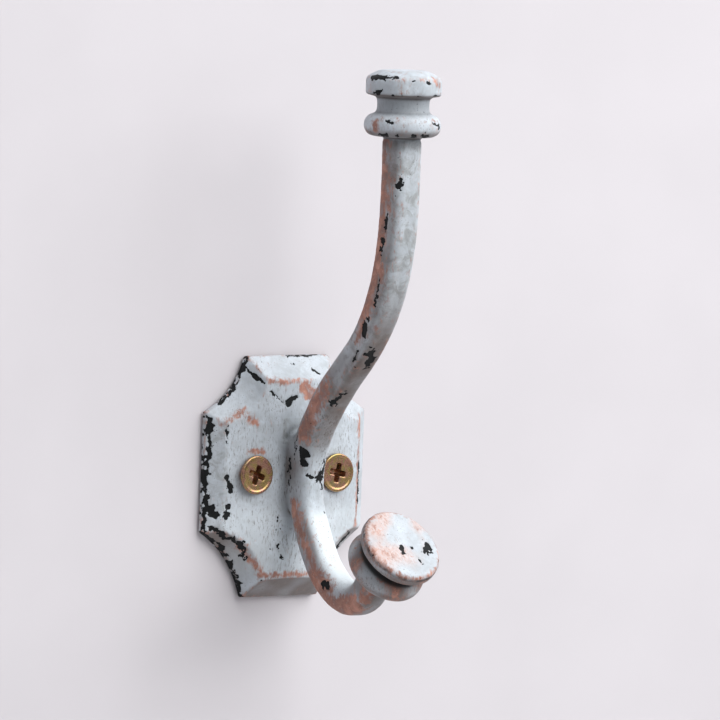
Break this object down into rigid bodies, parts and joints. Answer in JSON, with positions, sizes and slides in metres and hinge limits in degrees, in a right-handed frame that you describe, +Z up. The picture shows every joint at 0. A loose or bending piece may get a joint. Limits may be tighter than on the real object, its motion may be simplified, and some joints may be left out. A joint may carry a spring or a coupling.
{
  "type": "hat and coat hook",
  "caption": "Cast wall hook with a bevelled, scooped back plate, a tall finial-tipped arm above a short knobbed hook, and countersunk wood screws.",
  "frame": {"origin": "centre of the back plate, on the wall plane it is screwed to", "axes": "+Y into the wall, hook reaching out along -Y, +Z up, symmetric about X = 0"},
  "size_m": [0.046, 0.0823, 0.1264],
  "materials": {
    "distressed_paint": "pale grey-blue paint worn through to copper primer and black iron",
    "yellow_zinc": "yellow zinc passivated steel"
  },
  "bodies": {
    "casting": {"hook_casting": "distressed_paint"},
    "left_screw": {"left_screw": "yellow_zinc"},
    "right_screw": {"right_screw": "yellow_zinc"}
  },
  "joints": [
    {"name": "left_screw_withdrawal", "type": "slide", "parent": "casting", "child": "left_screw", "axis": [0, -1, 0], "range_m": [0, 0.035]},
    {"name": "right_screw_withdrawal", "type": "slide", "parent": "casting", "child": "right_screw", "axis": [0, -1, 0], "range_m": [0, 0.035]}
  ]
}
